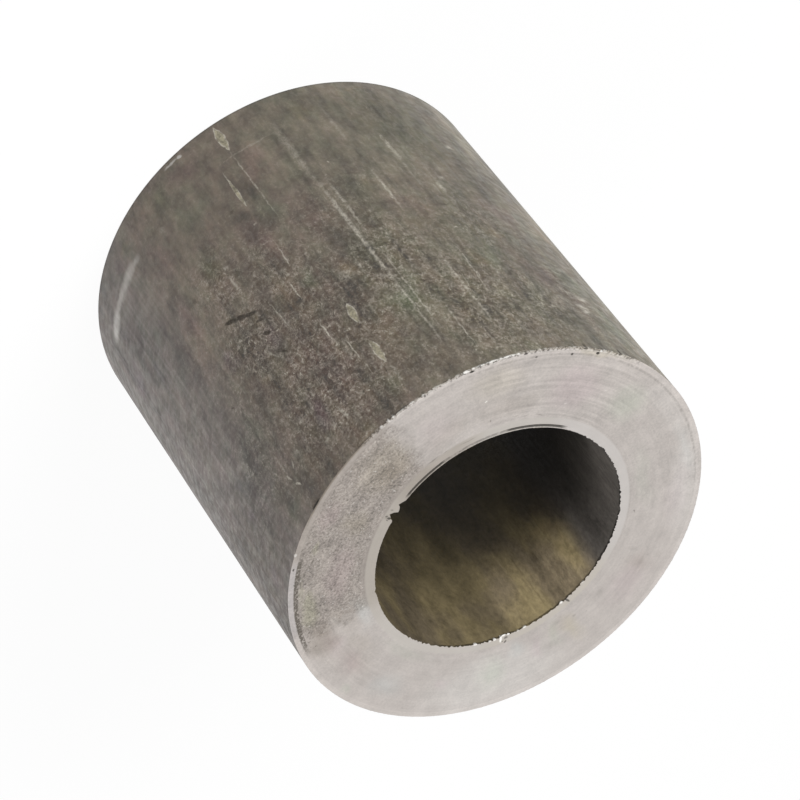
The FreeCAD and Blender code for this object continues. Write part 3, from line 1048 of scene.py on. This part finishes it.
# Broad patches of tint on the bright end, in the rows that onEnd takes
endAreas = {
    "green": [
        (194, 14.2, 2.4, 2.3, 1.0, 0, 0.2),
        (61, 14.0, 1.8, 2.4, 0.9),
        (86, 13.0, 0.8, 2.2, 0.8),
        (12, 16.7, 0.9, 0.5, 0.8),
        (160, 12.4, 4.5, 1.1, 0.5),
        (20, 11.6, 4.0, 0.9, 0.5),
    ],
    "violet": [
        (217, 14.0, 3.0, 2.7, 1.0, 0, 0.3),
        (265, 13.8, 2.6, 2.6, 0.5),
        (43, 14.3, 1.0, 0.9, 0.8),
        (78, 13.2, 0.8, 2.0, 1.0),
        (115, 14.4, 3.6, 2.4, 0.9),
        (148, 15.4, 4.6, 1.6, 0.6),
        (5, 14.8, 2.2, 1.6, 1.0),
        (304, 15.8, 1.9, 1.1, 1.0, 0, 0.2),
        (326, 13.4, 4.2, 1.7, 1.0, 0, 0.2),
        (355, 14.8, 2.4, 1.4, 0.9),
    ],
    "beige": [
        (244, 15.3, 3.2, 2.1, 0.45, 0, 0.2),
        (92, 13.6, 0.9, 2.4, 0.9),
        (285, 14.2, 3.3, 3.0, 0.5, 0, 0.3),
        (306, 13.4, 1.4, 1.6, 0.6, 0, 0.1),
        (215, 17.2, 5.5, 0.5, 0.7, 0, 0.2),
    ],
    "blue": [
        (23, 15.0, 2.6, 1.6, 0.9),
        (71, 12.4, 0.9, 1.5, 0.8),
        (347, 11.8, 2.4, 0.9, 0.6, 0, 0.1),
        (165, 16.2, 4.0, 0.8, 0.5),
    ],
    "light": [
        (62, 14.8, 8.5, 3.8, 1.0, 0, 0.3),
        (152, 16.0, 8.0, 1.9, 0.75, 0, 0.2),
        (182, 16.2, 5.0, 1.4, 0.5, 0, 0.1),
        (348, 11.75, 2.6, 0.95, 0.7, 0, 0.1),
    ],
    "dim": [
        (5, 14.5, 3.0, 2.3, 0.9),
        (88, 12.6, 1.8, 1.4, 0.6),
        (122, 14.2, 1.6, 2.4, 0.5),
        (351, 15.3, 2.6, 2.0, 1.0, 0, 0.2),
        (360, 13.3, 2.4, 1.2, 0.7, 0, 0.2),
        (240, 12.7, 4.5, 1.5, 0.6, 0, 0.1),
        (285, 13.2, 2.4, 1.6, 0.8, 0, 0.1),
        (262, 12.8, 3.4, 1.6, 0.5, 0, 0.1),
        (349, 13.2, 2.4, 1.4, 0.5, 0, 0.1),
    ],
    "shade": [
        (350, 15.6, 3.2, 2.0, 0.75, 0, 0.2),
        (122, 14.2, 1.2, 1.8, 0.3),
        (271, 11.6, 2.6, 0.9, 0.5, 0, 0.1),
    ],
    "patch": [
        (337, 15.8, 2.6, 0.75, 1.0, 0, 0.3),
        (330, 16.5, 2.0, 0.35, 0.6, 0, 0.2),
        (315, 15.9, 1.2, 0.40, 0.8, 0, 0.2),
    ],
}

# Dark specks, smears and scratches on the bright end, in the same rows
faceStains = [
    (144.2, 11.80, 0.20, 0.09, 0.7, 20, 0.2),
    (319.6, 15.82, 0.36, 0.15, 0.9, 0, 0.1),
    (321.6, 16.0, 0.30, 0.10, 0.6, 25, 0.1),
    (323.8, 16.3, 0.34, 0.12, 0.7, 30, 0.1),
    (326.6, 16.55, 0.40, 0.13, 0.7, 15, 0.1),
    (316.2, 14.12, 0.14, 0.14, 0.8, 0, 0.2),
    (125.3, 14.8, 0.16, 0.12, 0.3, 0, 0.1),
    (126.0, 15.8, 0.60, 0.50, 0.15),
    (122.5, 14.5, 0.50, 0.6, 0.18),
    (127.0, 13.0, 0.30, 0.9, 0.16),
    (94.8, 12.7, 0.25, 0.22, 0.3, 30),
    (99.0, 13.2, 0.12, 0.10, 0.3),
    (107.0, 12.8, 0.6, 0.4, 0.14),
    (88.0, 12.0, 0.7, 0.35, 0.22),
    (247.0, 11.9, 0.07, 0.16, 0.6, 0, 0.2),
    (226.5, 11.45, 0.55, 0.08, 0.4, -10, 0.1),
    (232.5, 11.55, 0.40, 0.07, 0.3, 10, 0.1),
    (236.8, 11.65, 0.40, 0.08, 0.3, 0, 0.1),
    (272.5, 11.25, 0.90, 0.10, 0.55, 0, 0.1),
    (266.5, 11.20, 0.40, 0.08, 0.4, 0, 0.1),
    (257.0, 10.92, 0.95, 0.08, 0.45, 0, 0.1),
    (294.0, 14.45, 0.07, 0.55, 0.45, 20, 0.2),
    (292.4, 13.72, 0.11, 0.34, 0.75, 25, 0.2),
    (290.9, 13.15, 0.09, 0.32, 0.6, 32, 0.2),
    (288.9, 12.45, 0.10, 0.38, 0.55, 30, 0.2),
    (287.3, 11.80, 0.11, 0.30, 0.75, 25, 0.2),
    (306.8, 11.9, 0.07, 0.30, 0.6, -35, 0.2),
    (301.6, 10.95, 0.30, 0.28, 0.4),
    (346.3, 13.8, 0.40, 0.50, 0.35),
    (348.5, 13.4, 0.30, 0.20, 0.4, 0, 0.1),
    (321.0, 11.9, 0.9, 0.5, 0.18),
    (281.5, 14.2, 0.9, 1.0, 0.12),
]


# the random tones of bare turned steel: fine rings round the axis, grain and blotches
def faceLayers(spot, radius, heading):
    onAxis = node("ShaderNodeCombineXYZ", {2: maths("MULTIPLY", radius, 3.0)}).outputs[0]
    ringSpace = vector("ADD", vector("MULTIPLY", heading, (1.6, 1.6, 0)), onAxis)
    return {
        "rings": speckle(ringSpace, 1.1, 4, 0.65),
        "fine": speckle(spot, 5.5, 3, 0.7),
        "coarse": speckle(spot, 2.2, 3, 0.6),
        "blotch": speckle(spot, 0.6, 3, 0.55),
    }


# how much brighter or darker the grain makes it, and the same for the blotches with the rings, which show
# best on one side
def faceGrain(layers, heading):
    gains = faceFinish["contrast"]
    grit = maths("SUBTRACT", gathered([(layers["fine"], gains[0]), (layers["coarse"], gains[1])]), 1.0)
    clearer = maths("MULTIPLY_ADD", inSector(heading, *faceFinish["ringSide"]), 0.7, 0.6)
    rings = product(maths("SUBTRACT", layers["rings"], 0.5), gains[3], clearer)
    blotches = maths("SUBTRACT", gathered([(layers["blotch"], gains[2])]), 1.0)
    return grit, maths("ADD", rings, blotches)


# the relief of the grain and the rings
def faceRelief(layers):
    deepFine, deepRings = faceFinish["relief"][:2]
    return maths("MULTIPLY_ADD", layers["rings"], deepRings, product(layers["fine"], deepFine))


# the broad tints of the bright end and its dull sector, which has ragged sides and more grain
def endTone(spot, radius, layers):
    tone = faceFinish["steel"]
    wavy = shaken(spot, 0.55, (1.6, 1.6, 0))
    for kind, rows in endAreas.items():
        tone = tinted(tone, flecks(wavy, onEnd(rows)), faceFinish["tints"][kind])
    uneven = squeezed(shaken(spot, 0.9, (2.4, 2.4, 0)), 0)
    aside = node("ShaderNodeVectorMath", {0: uneven}, operation="NORMALIZE").outputs[0]
    dull = inSector(aside, *faceFinish["dullSide"])
    tone = tinted(tone, dull, faceFinish["dull"])
    inner = step(maths("MULTIPLY_ADD", layers["blotch"], 1.4, maths("ADD", radius, -0.7)), 11.2, 11.7)
    return tone, product(dull, inner, step(radius, 17.02, 16.8))


# dark pits in the dull sector, more of them beside the rim, painted glints in the dull sector, and the worn
# ring line
def endWear(tone, ragged, spot, radius, heading, gritty, coarse):
    stain = faceFinish["stain"]
    pitted = speckle(ragged, 4.2, 3, 0.7)
    border = product(inSector(heading, 331, 18, 6), between(radius, 15.9, 17.0, 0.3))
    specks = product(maths("MAXIMUM", product(gritty, 0.75), border), step(pitted, 0.40, 0.32))
    tone = blend(product(specks, 0.75), tone, stain)
    # painted glints on the gritty steel
    glints = product(gritty, step(pitted, 0.62, 0.72), 0.5)
    tone = blend(glints, tone, burrGlintAndShade["bright"])
    # the line runs round the face, and is pitted beside the green patch
    line = product(between(radius, 16.86, 16.94, 0.08), inSector(heading, 205, 45, 20))
    dotted = speckle(squeezed(spot, 0), 4.6, 3, 0.65)
    worn = product(between(radius, 16.74, 16.98, 0.12), inSector(heading, 334, 12, 7),
                   step(dotted, 0.61, 0.48))
    faint = product(line, step(coarse, 0.62, 0.38, 0.0, 0.22))
    return blend(maths("MAXIMUM", product(worn, 0.92), faint), tone, stain), specks, worn


# the paler bevel with a painted highlight on its brightest stretch, worn dull at its edge, and the smooth
# land round the bore
def endRims(tone, radius, heading):
    bevel = step(radius, 16.97, 17.08)
    tone = shaded(tone, mixed(bevel, 1.0, faceFinish["bevel"]))
    tone = shaded(tone, step(radius, 14.3, 15.8, 1.0, 1.025))
    # painted highlight on the bevel's brightest stretch
    side, tint = faceFinish["shinyBevel"]
    tone = tinted(tone, product(bevel, inSector(heading, *side)), tint)
    side, tint = faceFinish["wornBevel"]
    tone = tinted(tone, product(step(radius, 17.28, 17.42), inSector(heading, *side)), tint)
    plain = faceFinish["land"]
    for side, tint in faceFinish["landTints"]:
        plain = tinted(plain, inSector(heading, *side), tint)
    return blend(product(step(radius, 11.3, 11.1), 0.7), tone, plain)


# where the groove behind the lip is painted dark, as shade and grime in it: on two stretches, and broken and
# weaker between them
def mouthGrooveShade(spot, heading, coarse):
    at, half = skin["grooveAt"], skin["grooveHalf"]
    strong = maths("MAXIMUM", inSector(heading, 226, 12, 4), inSector(heading, 279.5, 9, 3))
    weak = product(inSector(heading, 252, 20, 6), step(coarse, 0.62, 0.45, 0.1, 0.5))
    return product(between(boreDistance(spot), at - half, at + half, 0.05), maths("MAXIMUM", strong, weak))


# the bright end: turned steel with its tints, wear, groove, stains and torn edges
def facedEnd():
    finish, shader = newFinish("facedEnd")
    spot, radius, height, heading = millimetreSpace()
    layers = faceLayers(spot, radius, heading)
    coarse = layers["coarse"]
    ragged = shaken(spot, 3.0, (0.25, 0.25, 0.0))
    tone, gritty = endTone(spot, radius, layers)
    grit, rings = faceGrain(layers, heading)
    calm = step(inSector(heading, *faceFinish["calmSide"]), 0, 1, 1.0, 0.75)
    grit = product(grit, calm, maths("MULTIPLY_ADD", gritty, faceFinish["dullContrast"] - 1, 1.0))
    rings = product(rings, maths("MULTIPLY_ADD", gritty, 0.9, calm))
    tone = shaded(tone, maths("ADD", maths("ADD", grit, rings), 1.0))
    tone, specks, worn = endWear(tone, ragged, spot, radius, heading, gritty, coarse)
    tone = endRims(tone, radius, heading)
    groove = mouthGrooveShade(spot, heading, coarse)
    # painted shade and grime in the groove
    tone = blend(product(groove, 0.93), tone, burrGlintAndShade["dark"])
    stains = flecks(ragged, onEnd(faceStains))
    tone = blend(product(stains, 0.85), tone, faceFinish["stain"])
    tone, _, dark = tornEdge(tone, spot, radius, height, heading)
    # where painted shade and grime lie, in the slots, pits and the groove: rougher and not metal
    shadeAndGrime = maths("MAXIMUM", dark, product(groove, 0.9))
    feed(shader.inputs["Base Color"], tone)
    rough = step(layers["fine"], 0.3, 0.7, *faceFinish["roughness"])
    feed(shader.inputs["Roughness"], maths("MULTIPLY_ADD", shadeAndGrime, 0.4, rough))
    feed(shader.inputs["Metallic"], step(shadeAndGrime, 0, 1, faceFinish["metal"], 0.0))
    deepPits, deepLine = faceFinish["relief"][2:]
    deep = maths("MULTIPLY_ADD", specks, -deepPits, faceRelief(layers))
    relief(shader, maths("MULTIPLY_ADD", worn, -deepLine, deep))
    return finish


# the lower end, which the photograph hides: the same turned steel, plain and a little darker
def lowerEnd():
    finish, shader = newFinish("lowerEnd")
    spot, radius, _, heading = millimetreSpace()
    layers = faceLayers(spot, radius, heading)
    factor = maths("ADD", maths("ADD", *faceGrain(layers, heading)), 0.8)
    feed(shader.inputs["Base Color"], shaded(faceFinish["steel"], factor))
    feed(shader.inputs["Roughness"], step(layers["fine"], 0.3, 0.7, *faceFinish["roughness"]))
    shader.inputs["Metallic"].default_value = faceFinish["metal"]
    relief(shader, faceRelief(layers))
    return finish


# how far a point lies outside the bore, whose axis is a little off the tube's
def boreDistance(spot):
    middle = (float(tube["shift"][0]), float(tube["shift"][1]), 0)
    flat = vector("MULTIPLY", vector("SUBTRACT", spot, middle), (1, 1, 0))
    return maths("SUBTRACT", lengthOf(flat), tube["bore"])


# Scaled wall of the bore
boreFinish = {
    "scale": colour(0.172, 0.138, 0.075),
    "brown": colour(0.128, 0.103, 0.067),
    "grey": colour(0.095, 0.086, 0.078),
    "roughness": 0.6,
    "metal": 0.1,
    "contrast": (1.1, 1.2, 0.8, 0.45),         # fine grain, blotches, clouds, lines
    # painted light and shade on parts of it: sector, the heights where it starts and where it is full, and
    # how bright
    "lights": [
        ((30, 34, 12), -1, 0, 0.74),           # painted shade on the side that faces -X and -Y, at all heights
        ((75, 40, 10), 31, 35, 1.27),          # painted light near the mouth
        ((94, 17, 9), 27.5, 33, 1.50),         # a painted pool of light there
        ((111, 9, 6), 29, 34, 1.56),           # painted light beside it, where less light arrives
        ((146, 14, 10), 35.5, 31, 0.65),       # painted shade on the darkest side
    ],
    "deep": 0.40,                              # painted shade: brightness below the mouth
    "streak": 1.5,                             # painted light: brightness of a pale streak there
    "edge": 0.75,                              # how dark the painted shade of the torn line under the mouth is
    "relief": (0.06, 0.05),                    # fine grain and lines
}


# bore scale: brown-olive, blotched and streaked along the bore, greyer and darker with painted shade towards
# the side that faces +X, with painted light near the mouth and painted shade deeper down
def boreScale():
    finish, shader = newFinish("boreScale")
    spot, radius, height, heading = millimetreSpace()
    fine = speckle(squeezed(spot, 0.6), 3.2, 4, 0.65)
    blotch = speckle(squeezed(spot, 0.45), 0.9, 3, 0.6)
    clouds = speckle(squeezed(spot, 0.4), 0.28, 3, 0.5)
    lines = speckle(squeezed(spot, 0.16), 1.1, 4, 0.6)
    tone = blend(step(clouds, 0.6, 0.4), boreFinish["scale"], boreFinish["brown"])
    # greyer and darker, as painted shade, on the side away from the light
    grey = product(inSector(heading, 190, 67, 12), inSector(heading, 138, 52, 45))
    tone = blend(grey, tone, boreFinish["grey"])
    gains = boreFinish["contrast"]
    factor = gathered([(fine, gains[0]), (blotch, gains[1]), (clouds, gains[2]), (lines, gains[3])])
    factor = maths("MAXIMUM", factor, 0.2)
    # painted light and shade, sector by sector and by height
    for side, low, high, bright in boreFinish["lights"]:
        part = product(inSector(heading, *side), step(height, low, high))
        factor = product(factor, step(part, 0, 1, 1.0, bright))
    # painted shade deeper down the bore
    factor = product(factor, step(height, 34, 25, 1.0, boreFinish["deep"]))
    # painted light: a pale streak where light reaches deeper
    streak = product(inSector(heading, 50, 9, 8), step(height, 30, 26), step(height, 19, 22))
    factor = product(factor, step(streak, 0, 1, 1.0, boreFinish["streak"]))
    # painted shade on the torn line just under the mouth on the far side
    torn = product(step(maths("MULTIPLY_ADD", fine, 0.5, height), upper - 0.08, upper + 0.12),
                   inSector(heading, 110, 70, 15), step(blotch, 0.3, 0.5, 0.5, 1.0))
    factor = product(factor, step(torn, 0, 1, 1.0, 1.0 - boreFinish["edge"]))
    tone = shaded(tone, factor)
    tone, bright, dark = tornEdge(tone, spot, radius, height, heading)
    feed(shader.inputs["Base Color"], tone)
    shader.inputs["Roughness"].default_value = boreFinish["roughness"]
    shader.inputs["Metallic"].default_value = boreFinish["metal"]
    deepFine, deepLines = boreFinish["relief"]
    relief(shader, maths("MULTIPLY_ADD", lines, deepLines, product(fine, deepFine)))
    return finish


# The sleeve itself: one closed skin in place of the plain solid
finishes = {
    "wall": wallScale(),
    "face": facedEnd(),
    "foot": lowerEnd(),
    "bore": boreScale(),
}
print("finishes made")
sleeve = sleeveSkin(finishes)
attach(sleeve, "root")
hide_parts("sleeve")
print("skin made:", len(sleeve.data.vertices), "points", len(sleeve.data.polygons) * 2, "triangles")


# The studio: a pale floor and a white surround
studio = {
    "floorReach": 1.2,               # metres
    "floorColour": colour(0.86, 0.86, 0.86),
    "floorGlow": 0.94,               # how much of the floor's look is plain white
    "world": 0.42,
}

# Soft round lamps: watts, size and distance in metres, heading from +X and rise above the floor in degrees
lamps = {
    "keyLamp": (2.0, 0.26, 0.42, 214.0, 40.0),
    "fillLamp": (1.2, 0.26, 0.42, 4.0, 18.0),
}


# 1 where the camera looks, straight or by way of a mirror or glass, and 0 for all other light
def seenWhite():
    path = node("ShaderNodeLightPath").outputs
    seen = maths("MAXIMUM", path["Is Camera Ray"], path["Is Glossy Ray"])
    return maths("MAXIMUM", seen, path["Is Transmission Ray"])


# white where the camera or a mirror looks at it, and plain paint where light and shadow fall on it
def floorPaint():
    finish, shader = newFinish("floorPaint")
    nodes = finish.node_tree.nodes
    paint = node("ShaderNodeBsdfDiffuse", {"Color": studio["floorColour"]}).outputs[0]
    white = node("ShaderNodeEmission", {"Color": colour(1, 1, 1), "Strength": 1.0}).outputs[0]
    share = product(seenWhite(), studio["floorGlow"])
    both = node("ShaderNodeMixShader", {0: share, 1: paint, 2: white})
    feed(nodes["Material Output"].inputs["Surface"], both.outputs[0])
    nodes.remove(shader)
    return finish


# the floor: one square through the sleeve's lowest point
def studioFloor():
    reach = studio["floorReach"]
    corners = [(-reach, -reach, 0), (reach, -reach, 0), (reach, reach, 0), (-reach, reach, 0)]
    mesh = bpy.data.meshes.new("floor")
    mesh.from_pydata(corners, [], [(0, 1, 2, 3)])
    mesh.materials.append(floorPaint())
    floor = bpy.data.objects.new("floor", mesh)
    bpy.context.scene.collection.objects.link(floor)


# white surround for the camera and for mirrors, and a plainer one for everything else
def studioWorld():
    world = bpy.data.worlds.new("surround")
    world.use_nodes = True
    inHand["tree"] = world.node_tree
    background = world.node_tree.nodes["Background"].inputs
    feed(background["Color"], colour(1, 1, 1))
    feed(background["Strength"], mixed(seenWhite(), studio["world"], 1.0))
    bpy.context.scene.world = world


# each lamp: on a circle round the sleeve's middle, turned towards it
def studioLamps():
    middle = tube["tall"] / 2 * millimetre
    for name, (watts, size, far, heading, rise) in lamps.items():
        heading, rise = math.radians(heading), math.radians(rise)
        lamp = bpy.data.lights.new(name, "AREA")
        lamp.shape = "DISK"
        lamp.size = size
        lamp.energy = watts
        holder = bpy.data.objects.new(name, lamp)
        level = far * math.cos(rise)
        aside = (level * math.cos(heading), level * math.sin(heading))
        holder.location = (*aside, middle + far * math.sin(rise))
        holder.rotation_euler = (math.pi / 2 - rise, 0, heading + math.pi / 2)
        holder.visible_glossy = False        # the bright ends mirror the white surround, not the lamps
        bpy.context.scene.collection.objects.link(holder)


# The camera stands on the -Y side and looks down at the bright end, rolled as the photograph is
lens = {
    "place": (-0.0002345, -0.202586, 0.216535),
    "lookDown": 44.118,              # degrees below level
    "roll": 143.27,
    "length": 160.35,
}


# the camera's place, then its tilt from straight down, then its roll about the line of sight
def studioCamera():
    camera = bpy.data.cameras.new("camera")
    camera.lens = lens["length"]
    camera.sensor_width = 36
    camera.clip_start = 0.01
    holder = bpy.data.objects.new("camera", camera)
    tilt = Matrix.Rotation(math.radians(90 - lens["lookDown"]), 4, "X")
    roll = Matrix.Rotation(math.radians(lens["roll"]), 4, "Z")
    holder.matrix_world = Matrix.Translation(lens["place"]) @ tilt @ roll
    bpy.context.scene.collection.objects.link(holder)
    bpy.context.scene.camera = holder


studioFloor()
studioWorld()
studioLamps()
studioCamera()
bpy.context.scene.view_settings.view_transform = "Standard"
print("studio set")
